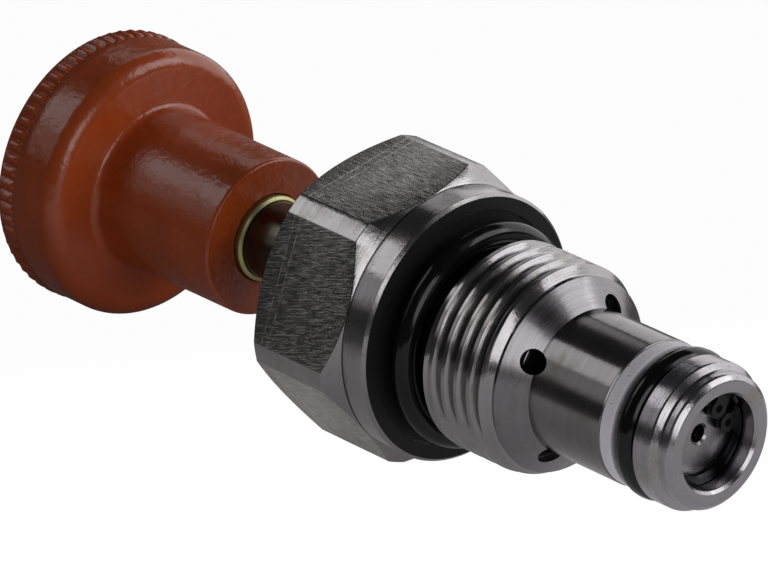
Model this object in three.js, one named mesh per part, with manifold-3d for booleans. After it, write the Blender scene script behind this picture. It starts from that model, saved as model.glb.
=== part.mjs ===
// Push-operated screw-in cartridge valve, in millimetres.
//
// Its axis is X: +X runs from the push knob to the nose that goes into the port cavity.
// The origin is the centre of the flange face that seats on the manifold, and +Z is up.
// Turned pieces are drawn as [x, radius] outlines: forward along the outside, back along the bore.
// Pushing the knob drives the plunger past the four side ports, which shuts them, and the trapped
// oil leaves through the ball check and the orifice disc in the nose. The return spring sends it back.

import * as THREE from 'three';
import { mergeVertices } from 'three/addons/utils/BufferGeometryUtils.js';
import Module from 'manifold-3d';

const wasm = await Module();
wasm.setup();

// ---- Driving dimensions ------------------------------------------------------------------

const CLEARANCE = 0.3; // between neighbouring pieces
const STROKE = 9.5; // push travel of the knob

// Round segments of the outer pieces, of the knob and of the small inner pieces
const OUTER_SEGMENTS = 36;
const KNOB_SEGMENTS = 40;
const INNER_SEGMENTS = 24;

// Hexagon, milled on round bar, with a turned collar in front of it
const ACROSS_FLATS = 28.58;
const BAR_R = 15.88;
const HEX_REAR_X = -15.85;
const HEX_REAR_R = 14.2;
const REAR_CHAMFER = 1.15;
const COLLAR_REAR_X = -3.16;
const COLLAR_R = 14.25;
const FRONT_CHAMFER = 1.5;
const FIRST_FLAT_ANGLE = 39.85;

// Seat face: an outer land, with a shallow recess for the port seal inside it
const SEAT_LAND_R = 12.5;
const SEAT_RECESS = 0.3;
const NECK_R = 9.3;

// Port thread, 7/8-14, and the cone in front of it
const THREAD_MAJOR_R = 11.11;
const THREAD_ROOT_R = 9.98;
const THREAD_PITCH = 1.814;
const THREAD_START_X = 4.7;
const THREAD_CRESTS = 5;
const THREAD_FLAT = 0.3;
const CONE_BASE_X = 14.63;
const CONE_BASE_R = 10.27;
const CONE_TIP_X = 16.83;

// Side ports, drilled at a slant where the cone meets the sleeve. Each opens into a ring-shaped
// gallery round the sleeve, and cross holes lead from there to the sleeve's bore
const PORT_COUNT = 4;
const PORT_R = 1.31;
const PORT_MOUTH_X = 16.5;
const PORT_MOUTH_R = 8.0;
const PORT_SLANT = 45;
const PORT_DEPTH = 2.4;
const FIRST_PORT_ANGLE = 58;
const GALLERY_REAR_X = 13.2;
const GALLERY_FRONT_X = 16.4;
const GALLERY_R = 5.4;
const CROSS_HOLE_X = 14.8;
const CROSS_HOLE_R = 1.25;

// Sleeve: a spigot inside the body, the ground seal land and the seal groove
const BODY_BORE_R = 6.8;
const SPIGOT_REAR_X = 9.0;
const SLEEVE_R = 7.65;
const SLEEVE_BORE_R = 4.0;
const GROOVE_REAR_X = 26.65;
const GROOVE_FRONT_X = 31.3;
const GROOVE_R = 5.1;
const LAND_R = 7.72;
const LAND_FRONT_X = 33.7;
const LIP_R = 7.05;
const LIP_REAR_X = 34.3;
const NOSE_X = 35.8;
const NOSE_CHAMFER = 0.45;
const NOSE_FACE_R = 6.48;

// Mouth of the nose, with the disc and the retaining ring in it
const MOUTH_R = 4.99;
const MOUTH_FLOOR_X = 31.6;
const MOUTH_CHAMFER = 0.3;
const DISC_THICKNESS = 1.0;
const DISC_HOLE_R = 0.92;
const RING_GROOVE_R = 5.5;
const RING_THICKNESS = 0.7;
const RING_WIDTH = 0.75;
const RING_GAP_ANGLE = 34;
const LUG_R = 1.02;
const LUG_CENTRE_R = 3.05;
const LUG_ARM_WIDTH = 1.7;
const LUG_HALF_ANGLE = 22;
const LUG_HOLE_R = 0.42;

// Seals
const PORT_SEAL_SECTION_R = 1.23;
const PORT_SEAL_MEAN_R = 10.83;
const PORT_SEAL_X = 2.1;
const NOSE_SEAL_SECTION_R = 1.3;
const NOSE_SEAL_MEAN_R = 6.7;
const NOSE_SEAL_X = 29.85;
const BACKUP_THICKNESS = 1.3;
const BACKUP_R = 7.55;
const STEM_SEAL_SECTION_R = 0.65;
const STEM_BACKUP_THICKNESS = 0.7;

// Plunger, ball check and their springs
const PLUNGER_FRONT_X = 13.0;
const PLUNGER_REAR_X = -0.7;
const PLUNGER_RING_X = 10.6;
const PLUNGER_RING_WIDTH = 1.2;
const PLUNGER_RING_DEPTH = 0.7;
const PLUNGER_CHAMFER = 0.3;
const SEAT_THICKNESS = 2.4;
const SEAT_HOLE_R = 1.3;
const BALL_R = 1.98;
const RETURN_WIRE_R = 0.45;
const RETURN_MEAN_R = 5.9;
const RETURN_TURNS = 5;
const CHECK_WIRE_R = 0.2;
const CHECK_MEAN_R = 1.45;
const CHECK_TURNS = 3;

// Stem gland in the rear of the body
const GLAND_BORE_R = 7.9;
const GLAND_SHOULDER_X = -8.0;
const GLAND_LENGTH = 4.7;
const GLAND_SEAL_GROOVE = 2.9;
const GLAND_SEAL_GROOVE_R = 6.3;
const WIPER_THICKNESS = 0.8;
const GLAND_RING_THICKNESS = 0.5;
const GLAND_RING_GROOVE_R = 8.5;
const GLAND_RING_INNER_R = 6.6;

// Stem
const STEM_R = 4.2;
const STEM_FRONT_X = -1.0;
const STEM_SPIGOT_R = 2.0;
const STEM_SPIGOT_LENGTH = 5.0;
const STEM_TAIL_R = 3.0;
const STEM_GROOVE_R = 3.6;
const STEM_RING_THICKNESS = 0.8;
const STEM_RING_R = 5.6;
const SPRING_SEAT_THICKNESS = 1.0;

// Mushroom knob on its pressed-in bush
const HUB_FACE_X = -30.09;
const HUB_R = 8.52;
const HUB_LENGTH = 17.6;
const HUB_FILLET = 1.2;
const HUB_CHAMFER = 0.3;
const RIM_R = 14.68;
const FACE_EDGE_R = 12.9;
const RIM_REAR_X = -56.0;
const KNOB_REAR_X = -57.5;
const KNOB_REAR_R = 11.8;
const BUSH_R = 4.67;
const BUSH_LENGTH = 14.2;
const BUSH_PROUD = 0.8;

// ---- Positions along the axis, worked out from the dimensions -----------------------------

// Gland stack, from the shoulder in the body back to its retaining ring
const GLAND_FRONT_X = GLAND_SHOULDER_X - CLEARANCE;
const GLAND_REAR_X = GLAND_FRONT_X - GLAND_LENGTH;
const WIPER_FRONT_X = GLAND_REAR_X - CLEARANCE;
const WIPER_REAR_X = WIPER_FRONT_X - WIPER_THICKNESS;
const GLAND_RING_FRONT_X = WIPER_REAR_X - CLEARANCE;
const GLAND_RING_REAR_X = GLAND_RING_FRONT_X - GLAND_RING_THICKNESS;

// Stack in the mouth of the nose
const DISC_REAR_X = MOUTH_FLOOR_X + CLEARANCE;
const DISC_FRONT_X = DISC_REAR_X + DISC_THICKNESS;
const RING_REAR_X = DISC_FRONT_X + CLEARANCE;
const RING_FRONT_X = RING_REAR_X + RING_THICKNESS;

// Return spring and its seat, held on the stem by a ring that stops against the gland at rest
const STEM_RING_REAR_X = GLAND_FRONT_X + CLEARANCE;
const STEM_RING_FRONT_X = STEM_RING_REAR_X + STEM_RING_THICKNESS;
const SPRING_SEAT_REAR_X = STEM_RING_FRONT_X + CLEARANCE;
const SPRING_SEAT_FRONT_X = SPRING_SEAT_REAR_X + SPRING_SEAT_THICKNESS;

// Ball check, just ahead of where the plunger stops
const CHECK_SEAT_REAR_X = PLUNGER_FRONT_X + STROKE + CLEARANCE;
const CHECK_SEAT_FRONT_X = CHECK_SEAT_REAR_X + SEAT_THICKNESS;
const BALL_X = CHECK_SEAT_FRONT_X + Math.sqrt(BALL_R ** 2 - SEAT_HOLE_R ** 2) + CLEARANCE;

// Knob and bush
const KNOB_FACE_X = HUB_FACE_X - HUB_LENGTH;
const BUSH_FRONT_X = HUB_FACE_X + BUSH_PROUD;
const BUSH_REAR_X = BUSH_FRONT_X - BUSH_LENGTH;

// ---- Materials ---------------------------------------------------------------------------

const MATERIALS = {
  machinedSteel: new THREE.MeshStandardMaterial({ color: 0x8b8788, roughness: 0.3, metalness: 1 }),
  groundSteel: new THREE.MeshStandardMaterial({ color: 0x77747a, roughness: 0.22, metalness: 1 }),
  springSteel: new THREE.MeshStandardMaterial({ color: 0x4a4a4d, roughness: 0.35, metalness: 1 }),
  zincPlate: new THREE.MeshStandardMaterial({ color: 0xa99a5b, roughness: 0.3, metalness: 1 }),
  bronze: new THREE.MeshStandardMaterial({ color: 0xa98146, roughness: 0.4, metalness: 1 }),
  blackRubber: new THREE.MeshStandardMaterial({ color: 0x0c0c0d, roughness: 0.35, metalness: 0 }),
  whitePolymer: new THREE.MeshStandardMaterial({ color: 0xc9c8d6, roughness: 0.45, metalness: 0 }),
  redPlastic: new THREE.MeshStandardMaterial({ color: 0x9c3418, roughness: 0.38, metalness: 0 }),
};

// ---- Shape helpers -----------------------------------------------------------------------

function turned(outline, segments = INNER_SEGMENTS) {
  const points = outline.map(([x, radius]) => new THREE.Vector2(radius, x));
  const startsOnAxis = outline[0][1] === 0;
  if (!startsOnAxis) points.push(points[0].clone());
  return new THREE.LatheGeometry(points, segments).rotateZ(-Math.PI / 2);
}

function washer(rearX, frontX, innerR, outerR, segments) {
  return turned([[rearX, outerR], [frontX, outerR], [frontX, innerR], [rearX, innerR]], segments);
}

function sealRing(centreX, meanR, sectionR, segments) {
  const SECTION_SIDES = 10;
  const outline = [];
  for (let i = 0; i < SECTION_SIDES; i += 1) {
    const angle = (i / SECTION_SIDES) * 2 * Math.PI;
    outline.push([centreX - sectionR * Math.cos(angle), meanR + sectionR * Math.sin(angle)]);
  }
  return turned(outline, segments);
}

class Helix extends THREE.Curve {
  constructor(rearX, frontX, radius, turns) {
    super();
    Object.assign(this, { rearX, frontX, radius, turns });
  }

  getPoint(t, target = new THREE.Vector3()) {
    const angle = t * this.turns * 2 * Math.PI;
    const x = this.rearX + t * (this.frontX - this.rearX);
    return target.set(x, this.radius * Math.cos(angle), this.radius * Math.sin(angle));
  }
}

// The wire is six-sided: a full arc gets two points for each curve segment
function coilSpring(rearX, frontX, meanR, wireR, turns) {
  const WIRE_CURVE_SEGMENTS = 3;
  const STEPS_PER_TURN = 10;
  const section = new THREE.Shape();
  section.absarc(0, 0, wireR, 0, 2 * Math.PI);
  const path = new Helix(rearX + wireR, frontX - wireR, meanR, turns);
  return new THREE.ExtrudeGeometry(section, {
    steps: turns * STEPS_PER_TURN,
    curveSegments: WIRE_CURVE_SEGMENTS,
    extrudePath: path,
    bevelEnabled: false,
  });
}

function toSolid(geometry) {
  const bare = geometry.clone();
  bare.deleteAttribute('normal');
  bare.deleteAttribute('uv');
  const merged = mergeVertices(bare, 1e-4);
  return new wasm.Manifold(new wasm.Mesh({
    numProp: 3,
    vertProperties: new Float32Array(merged.attributes.position.array),
    triVerts: new Uint32Array(merged.index.array),
  }));
}

function toGeometry(solid) {
  const mesh = solid.getMesh();
  const geometry = new THREE.BufferGeometry();
  geometry.setAttribute('position', new THREE.BufferAttribute(mesh.vertProperties, 3));
  geometry.setIndex(new THREE.BufferAttribute(mesh.triVerts, 1));
  return geometry;
}

function cutAway(geometry, tools) {
  return toGeometry(tools.reduce((solid, tool) => solid.subtract(toSolid(tool)), toSolid(geometry)));
}

function radians(degrees) {
  return THREE.MathUtils.degToRad(degrees);
}

// Milling cutters: one block outside each flat, over the hexagon's length only
function flatCutters() {
  const BLOCK = 8;
  const OVERRUN = 1;
  const length = COLLAR_REAR_X - HEX_REAR_X + OVERRUN;
  const middleX = (COLLAR_REAR_X + HEX_REAR_X - OVERRUN) / 2;
  const cutters = [];
  for (let i = 0; i < 6; i += 1) {
    const cutter = new THREE.BoxGeometry(length, BLOCK, ACROSS_FLATS);
    cutter.translate(middleX, ACROSS_FLATS / 2 + BLOCK / 2, 0);
    cutters.push(cutter.rotateX(radians(FIRST_FLAT_ANGLE + i * 60)));
  }
  return cutters;
}

// A ring of drills, each a cylinder from innerLength to outerLength along its own axis, which passes
// through [x, radius] and leans forward by the slant
function drillRing(x, radius, drillR, slant, innerLength, outerLength) {
  const DRILL_SIDES = 16;
  const drills = [];
  for (let i = 0; i < PORT_COUNT; i += 1) {
    const length = outerLength - innerLength;
    const drill = new THREE.CylinderGeometry(drillR, drillR, length, DRILL_SIDES);
    drill.translate(0, (innerLength + outerLength) / 2, 0);
    drill.rotateZ(-radians(slant));
    drill.translate(x, radius, 0);
    drills.push(drill.rotateX(radians(FIRST_PORT_ANGLE + (i * 360) / PORT_COUNT)));
  }
  return drills;
}

function portDrills() {
  const OUTWARD = 5;
  return drillRing(PORT_MOUTH_X, PORT_MOUTH_R, PORT_R, PORT_SLANT, -PORT_DEPTH, OUTWARD);
}

function crossDrills() {
  const innerR = SLEEVE_BORE_R - 1;
  const outerR = GALLERY_R + 0.5;
  return drillRing(CROSS_HOLE_X, 0, CROSS_HOLE_R, 0, innerR, outerR);
}

// ---- Body and sleeve ---------------------------------------------------------------------

// Crests of the port thread as rings, which keeps the body a simple turned piece
function threadOutline() {
  const flank = (THREAD_PITCH - 2 * THREAD_FLAT) / 2;
  const outline = [];
  for (let i = 0; i < THREAD_CRESTS; i += 1) {
    const rootX = THREAD_START_X + i * THREAD_PITCH;
    const crestX = rootX + flank;
    outline.push([rootX, THREAD_ROOT_R], [crestX, THREAD_MAJOR_R]);
    outline.push([crestX + THREAD_FLAT, THREAD_MAJOR_R], [crestX + THREAD_FLAT + flank, THREAD_ROOT_R]);
  }
  return outline;
}

function hexBody() {
  const ringFrontX = GLAND_RING_FRONT_X + CLEARANCE;
  const ringRearX = GLAND_RING_REAR_X - CLEARANCE;
  const outline = [
    [HEX_REAR_X, HEX_REAR_R],
    [HEX_REAR_X + REAR_CHAMFER, BAR_R],
    [COLLAR_REAR_X - FRONT_CHAMFER, BAR_R],
    [COLLAR_REAR_X, COLLAR_R],
    [0, COLLAR_R],
    [0, SEAT_LAND_R],
    [-SEAT_RECESS, SEAT_LAND_R],
    [-SEAT_RECESS, NECK_R],
    [THREAD_START_X - CLEARANCE, NECK_R],
    ...threadOutline(),
    [CONE_BASE_X, CONE_BASE_R],
    [CONE_TIP_X, SLEEVE_R],
    [CONE_TIP_X, BODY_BORE_R],
    [GLAND_SHOULDER_X, BODY_BORE_R],
    [GLAND_SHOULDER_X, GLAND_BORE_R],
    [ringFrontX, GLAND_BORE_R],
    [ringFrontX, GLAND_RING_GROOVE_R],
    [ringRearX, GLAND_RING_GROOVE_R],
    [ringRearX, GLAND_BORE_R],
    [HEX_REAR_X, GLAND_BORE_R],
  ];
  return cutAway(turned(outline, OUTER_SEGMENTS), [...flatCutters(), ...portDrills()]);
}

function cageSleeve() {
  const shoulderX = CONE_TIP_X + CLEARANCE;
  const ringFrontX = RING_FRONT_X + CLEARANCE;
  const ringRearX = RING_REAR_X - CLEARANCE;
  const outline = [
    [SPIGOT_REAR_X, BODY_BORE_R - CLEARANCE],
    [GALLERY_REAR_X, BODY_BORE_R - CLEARANCE],
    [GALLERY_REAR_X, GALLERY_R],
    [GALLERY_FRONT_X, GALLERY_R],
    [GALLERY_FRONT_X, BODY_BORE_R - CLEARANCE],
    [shoulderX, BODY_BORE_R - CLEARANCE],
    [shoulderX, SLEEVE_R],
    [GROOVE_REAR_X, SLEEVE_R],
    [GROOVE_REAR_X, GROOVE_R],
    [GROOVE_FRONT_X, GROOVE_R],
    [GROOVE_FRONT_X, LAND_R],
    [LAND_FRONT_X, LAND_R],
    [LIP_REAR_X, LIP_R],
    [NOSE_X - NOSE_CHAMFER, LIP_R],
    [NOSE_X, NOSE_FACE_R],
    [NOSE_X, MOUTH_R + MOUTH_CHAMFER],
    [NOSE_X - MOUTH_CHAMFER, MOUTH_R],
    [ringFrontX, MOUTH_R],
    [ringFrontX, RING_GROOVE_R],
    [ringRearX, RING_GROOVE_R],
    [ringRearX, MOUTH_R],
    [MOUTH_FLOOR_X, MOUTH_R],
    [MOUTH_FLOOR_X, SLEEVE_BORE_R],
    [SPIGOT_REAR_X, SLEEVE_BORE_R],
  ];
  return cutAway(turned(outline, OUTER_SEGMENTS), [...portDrills(), ...crossDrills()]);
}

// ---- Nose pieces -------------------------------------------------------------------------

function noseBackupRing() {
  const rearX = GROOVE_REAR_X + CLEARANCE;
  return washer(rearX, rearX + BACKUP_THICKNESS, GROOVE_R + CLEARANCE, BACKUP_R, OUTER_SEGMENTS);
}

function orificeDisc() {
  return washer(DISC_REAR_X, DISC_FRONT_X, DISC_HOLE_R, MOUTH_R - CLEARANCE);
}

// One lug of the retaining ring, or the hole in it, as a short cylinder along the axis
function lugCylinder(radius, length, side) {
  const LUG_SIDES = 12;
  const angle = radians(RING_GAP_ANGLE + side * LUG_HALF_ANGLE);
  const cylinder = new THREE.CylinderGeometry(radius, radius, length, LUG_SIDES);
  cylinder.rotateZ(-Math.PI / 2);
  cylinder.translate((RING_REAR_X + RING_FRONT_X) / 2, LUG_CENTRE_R, 0);
  return cylinder.rotateX(angle);
}

// The arm that joins a lug to the ring
function lugArm(side) {
  const armLength = RING_GROOVE_R - CLEARANCE - RING_WIDTH / 2 - LUG_CENTRE_R;
  const arm = new THREE.BoxGeometry(RING_THICKNESS, armLength, LUG_ARM_WIDTH);
  arm.translate((RING_REAR_X + RING_FRONT_X) / 2, LUG_CENTRE_R + armLength / 2, 0);
  return arm.rotateX(radians(RING_GAP_ANGLE + side * LUG_HALF_ANGLE));
}

// Internal retaining ring: an open ring whose two drilled lugs stand inwards beside the gap
function noseRetainingRing() {
  const ARC_STEPS = 10;
  const outerR = RING_GROOVE_R - CLEARANCE;
  const innerR = outerR - RING_WIDTH;
  const start = radians(RING_GAP_ANGLE + LUG_HALF_ANGLE);
  const end = radians(RING_GAP_ANGLE - LUG_HALF_ANGLE + 360);
  const outline = new THREE.Shape();
  outline.absarc(0, 0, outerR, start, end, false);
  outline.absarc(0, 0, innerR, end, start, true);
  const ring = new THREE.ExtrudeGeometry(outline, {
    depth: RING_THICKNESS,
    curveSegments: ARC_STEPS,
    bevelEnabled: false,
  });
  const alongAxis = new THREE.Matrix4().makeBasis(
    new THREE.Vector3(0, 1, 0),
    new THREE.Vector3(0, 0, 1),
    new THREE.Vector3(1, 0, 0),
  );
  ring.applyMatrix4(alongAxis).translate(RING_REAR_X, 0, 0);
  const sides = [1, -1];
  const lugs = sides.flatMap((side) => [lugCylinder(LUG_R, RING_THICKNESS, side), lugArm(side)]);
  const holes = sides.map((side) => lugCylinder(LUG_HOLE_R, 2 * RING_THICKNESS, side));
  const joined = lugs.reduce((solid, lug) => solid.add(toSolid(lug)), toSolid(ring));
  return cutAway(toGeometry(joined), holes);
}

// ---- Plunger, check and springs ----------------------------------------------------------

function plunger() {
  const grooveRearX = PLUNGER_RING_X - PLUNGER_RING_WIDTH / 2 - CLEARANCE;
  const grooveFrontX = PLUNGER_RING_X + PLUNGER_RING_WIDTH / 2 + CLEARANCE;
  const outerR = SLEEVE_BORE_R - CLEARANCE;
  const grooveR = outerR - PLUNGER_RING_DEPTH - CLEARANCE;
  const socketR = STEM_SPIGOT_R + CLEARANCE;
  const socketEndX = STEM_FRONT_X + STEM_SPIGOT_LENGTH + CLEARANCE;
  return turned([
    [socketEndX, 0],
    [socketEndX, socketR],
    [PLUNGER_REAR_X, socketR],
    [PLUNGER_REAR_X, outerR],
    [grooveRearX, outerR],
    [grooveRearX, grooveR],
    [grooveFrontX, grooveR],
    [grooveFrontX, outerR],
    [PLUNGER_FRONT_X - PLUNGER_CHAMFER, outerR],
    [PLUNGER_FRONT_X, outerR - PLUNGER_CHAMFER],
    [PLUNGER_FRONT_X, 0],
  ]);
}

function plungerRing() {
  const outerR = SLEEVE_BORE_R - CLEARANCE;
  const rearX = PLUNGER_RING_X - PLUNGER_RING_WIDTH / 2;
  return washer(rearX, rearX + PLUNGER_RING_WIDTH, outerR - PLUNGER_RING_DEPTH, outerR);
}

function checkSeat() {
  return washer(CHECK_SEAT_REAR_X, CHECK_SEAT_FRONT_X, SEAT_HOLE_R, SLEEVE_BORE_R - CLEARANCE);
}

function checkBall() {
  return new THREE.SphereGeometry(BALL_R, 16, 12).translate(BALL_X, 0, 0);
}

function checkSpring() {
  const seatX = BALL_X + Math.sqrt(BALL_R ** 2 - CHECK_MEAN_R ** 2) + CLEARANCE;
  return coilSpring(seatX, DISC_REAR_X - CLEARANCE, CHECK_MEAN_R, CHECK_WIRE_R, CHECK_TURNS);
}

function returnSpring() {
  const rearX = SPRING_SEAT_FRONT_X + CLEARANCE;
  return coilSpring(rearX, SPIGOT_REAR_X - CLEARANCE, RETURN_MEAN_R, RETURN_WIRE_R, RETURN_TURNS);
}

// ---- Stem and its gland ------------------------------------------------------------------

function stem() {
  const shoulderX = BUSH_FRONT_X + CLEARANCE;
  const grooveRearX = STEM_RING_REAR_X - CLEARANCE;
  const grooveFrontX = STEM_RING_FRONT_X + CLEARANCE;
  return turned([
    [BUSH_REAR_X + CLEARANCE, 0],
    [BUSH_REAR_X + CLEARANCE, STEM_TAIL_R],
    [shoulderX, STEM_TAIL_R],
    [shoulderX, STEM_R],
    [grooveRearX, STEM_R],
    [grooveRearX, STEM_GROOVE_R],
    [grooveFrontX, STEM_GROOVE_R],
    [grooveFrontX, STEM_R],
    [STEM_FRONT_X, STEM_R],
    [STEM_FRONT_X, STEM_SPIGOT_R],
    [STEM_FRONT_X + STEM_SPIGOT_LENGTH, STEM_SPIGOT_R],
    [STEM_FRONT_X + STEM_SPIGOT_LENGTH, 0],
  ]);
}

function stemRing() {
  return washer(STEM_RING_REAR_X, STEM_RING_FRONT_X, STEM_GROOVE_R + CLEARANCE, STEM_RING_R);
}

function springSeat() {
  const outerR = BODY_BORE_R - CLEARANCE;
  return washer(SPRING_SEAT_REAR_X, SPRING_SEAT_FRONT_X, STEM_R + CLEARANCE, outerR);
}

function glandBushing() {
  const boreR = STEM_R + CLEARANCE;
  const outerR = GLAND_BORE_R - CLEARANCE;
  const wall = (GLAND_LENGTH - GLAND_SEAL_GROOVE) / 2;
  return turned([
    [GLAND_REAR_X, outerR],
    [GLAND_FRONT_X, outerR],
    [GLAND_FRONT_X, boreR],
    [GLAND_FRONT_X - wall, boreR],
    [GLAND_FRONT_X - wall, GLAND_SEAL_GROOVE_R],
    [GLAND_REAR_X + wall, GLAND_SEAL_GROOVE_R],
    [GLAND_REAR_X + wall, boreR],
    [GLAND_REAR_X, boreR],
  ]);
}

function stemSeal() {
  const grooveFrontX = GLAND_FRONT_X - (GLAND_LENGTH - GLAND_SEAL_GROOVE) / 2;
  const centreX = grooveFrontX - CLEARANCE - STEM_SEAL_SECTION_R;
  return sealRing(centreX, STEM_R + CLEARANCE + STEM_SEAL_SECTION_R, STEM_SEAL_SECTION_R);
}

function stemBackupRing() {
  const grooveRearX = GLAND_REAR_X + (GLAND_LENGTH - GLAND_SEAL_GROOVE) / 2;
  const rearX = grooveRearX + CLEARANCE;
  const outerR = GLAND_SEAL_GROOVE_R - CLEARANCE;
  return washer(rearX, rearX + STEM_BACKUP_THICKNESS, STEM_R + CLEARANCE, outerR);
}

function wiperRing() {
  return washer(WIPER_REAR_X, WIPER_FRONT_X, STEM_R + CLEARANCE, GLAND_BORE_R - CLEARANCE);
}

function glandRing() {
  const outerR = GLAND_RING_GROOVE_R - CLEARANCE;
  return washer(GLAND_RING_REAR_X, GLAND_RING_FRONT_X, GLAND_RING_INNER_R, outerR);
}

// ---- Knob --------------------------------------------------------------------------------

function arc(centreX, centreR, radius, fromDegrees, toDegrees) {
  const ARC_STEPS = 4;
  const points = [];
  for (let i = 0; i <= ARC_STEPS; i += 1) {
    const angle = radians(fromDegrees + ((toDegrees - fromDegrees) * i) / ARC_STEPS);
    points.push([centreX + radius * Math.cos(angle), centreR + radius * Math.sin(angle)]);
  }
  return points;
}

function knob() {
  const edgeRadius = RIM_R - FACE_EDGE_R;
  const boreR = BUSH_R + CLEARANCE;
  const boreEndX = BUSH_REAR_X - CLEARANCE;
  const outline = [
    [KNOB_REAR_X, 0],
    [KNOB_REAR_X, KNOB_REAR_R],
    [RIM_REAR_X, RIM_R],
    ...arc(KNOB_FACE_X - edgeRadius, FACE_EDGE_R, edgeRadius, 90, 0),
    ...arc(KNOB_FACE_X + HUB_FILLET, HUB_R + HUB_FILLET, HUB_FILLET, 180, 270),
    [HUB_FACE_X - HUB_CHAMFER, HUB_R],
    [HUB_FACE_X, HUB_R - HUB_CHAMFER],
    [HUB_FACE_X, boreR],
    [boreEndX, boreR],
    [boreEndX, 0],
  ];
  return turned(outline, KNOB_SEGMENTS);
}

function knobBush() {
  return washer(BUSH_REAR_X, BUSH_FRONT_X, STEM_TAIL_R + CLEARANCE, BUSH_R);
}

// ---- Assembly ----------------------------------------------------------------------------

const PIECES = {
  fixed: {
    hex_body: [hexBody(), MATERIALS.machinedSteel],
    cage_sleeve: [cageSleeve(), MATERIALS.groundSteel],
    port_o_ring: [
      sealRing(PORT_SEAL_X, PORT_SEAL_MEAN_R, PORT_SEAL_SECTION_R, OUTER_SEGMENTS),
      MATERIALS.blackRubber,
    ],
    nose_o_ring: [
      sealRing(NOSE_SEAL_X, NOSE_SEAL_MEAN_R, NOSE_SEAL_SECTION_R, OUTER_SEGMENTS),
      MATERIALS.blackRubber,
    ],
    nose_backup_ring: [noseBackupRing(), MATERIALS.whitePolymer],
    orifice_disc: [orificeDisc(), MATERIALS.machinedSteel],
    nose_retaining_ring: [noseRetainingRing(), MATERIALS.springSteel],
    check_seat: [checkSeat(), MATERIALS.groundSteel],
    check_spring: [checkSpring(), MATERIALS.springSteel],
    return_spring: [returnSpring(), MATERIALS.springSteel],
    gland_bushing: [glandBushing(), MATERIALS.bronze],
    stem_o_ring: [stemSeal(), MATERIALS.blackRubber],
    stem_backup_ring: [stemBackupRing(), MATERIALS.whitePolymer],
    wiper_ring: [wiperRing(), MATERIALS.blackRubber],
    gland_retaining_ring: [glandRing(), MATERIALS.springSteel],
  },
  check: {
    check_ball: [checkBall(), MATERIALS.groundSteel],
  },
  slider: {
    spring_seat: [springSeat(), MATERIALS.machinedSteel],
  },
  pushed: {
    push_knob: [knob(), MATERIALS.redPlastic],
    knob_bush: [knobBush(), MATERIALS.zincPlate],
    stem: [stem(), MATERIALS.zincPlate],
    stem_retaining_ring: [stemRing(), MATERIALS.springSteel],
    plunger: [plunger(), MATERIALS.groundSteel],
    plunger_ring: [plungerRing(), MATERIALS.whitePolymer],
  },
};

const valve = new THREE.Group();
Object.values(PIECES).forEach((pieces) => {
  const assembly = new THREE.Group();
  Object.entries(pieces).forEach(([name, [geometry, material]]) => {
    const mesh = new THREE.Mesh(geometry, material);
    mesh.name = name;
    assembly.add(mesh);
  });
  valve.add(assembly);
});

export default valve;
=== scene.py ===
"""Looks for the push-operated cartridge valve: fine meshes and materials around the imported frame.

The valve's axis is X, with +X towards the nose. Outlines of turned pieces are [x, radius] points in
millimetres: forward along the outside, then back along the bore.
"""

import math

import bmesh
import bpy
from mathutils import Matrix, Vector

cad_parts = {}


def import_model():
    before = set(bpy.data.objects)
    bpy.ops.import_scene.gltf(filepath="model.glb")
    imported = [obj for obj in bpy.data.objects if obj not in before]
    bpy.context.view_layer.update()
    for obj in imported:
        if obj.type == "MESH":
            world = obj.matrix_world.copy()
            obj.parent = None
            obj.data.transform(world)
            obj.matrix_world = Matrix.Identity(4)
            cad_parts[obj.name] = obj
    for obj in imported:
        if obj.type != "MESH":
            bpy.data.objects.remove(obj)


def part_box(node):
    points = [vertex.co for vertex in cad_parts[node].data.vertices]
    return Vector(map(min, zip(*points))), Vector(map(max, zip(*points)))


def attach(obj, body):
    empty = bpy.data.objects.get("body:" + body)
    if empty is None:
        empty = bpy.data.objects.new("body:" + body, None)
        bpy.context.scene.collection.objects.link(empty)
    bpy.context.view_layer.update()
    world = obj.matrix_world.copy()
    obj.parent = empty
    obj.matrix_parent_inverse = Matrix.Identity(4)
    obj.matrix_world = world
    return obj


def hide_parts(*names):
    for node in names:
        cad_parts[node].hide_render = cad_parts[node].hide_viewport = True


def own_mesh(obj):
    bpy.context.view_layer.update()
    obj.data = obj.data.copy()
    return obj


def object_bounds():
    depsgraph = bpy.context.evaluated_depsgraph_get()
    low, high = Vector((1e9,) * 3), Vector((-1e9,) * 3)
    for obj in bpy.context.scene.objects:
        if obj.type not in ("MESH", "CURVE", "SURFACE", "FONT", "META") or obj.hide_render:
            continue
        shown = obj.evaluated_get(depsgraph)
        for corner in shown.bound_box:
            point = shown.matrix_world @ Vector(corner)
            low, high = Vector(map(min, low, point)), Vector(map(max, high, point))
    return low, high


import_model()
CAD_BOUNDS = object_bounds()

MM = 0.001
ROUND = 192  # segments round a turned piece
SMALL_ROUND = 96  # segments round a small inner piece


# ---- Sizes, in millimetres -----------------------


def span(node):
    """First and last x of a CAD node, in millimetres."""
    low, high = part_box(node)
    return low.x / MM, high.x / MM


def outer_radius(node):
    """Largest radius of a turned CAD node, in millimetres."""
    low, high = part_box(node)
    return max(high.y, high.z, -low.y, -low.z) / MM


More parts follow.
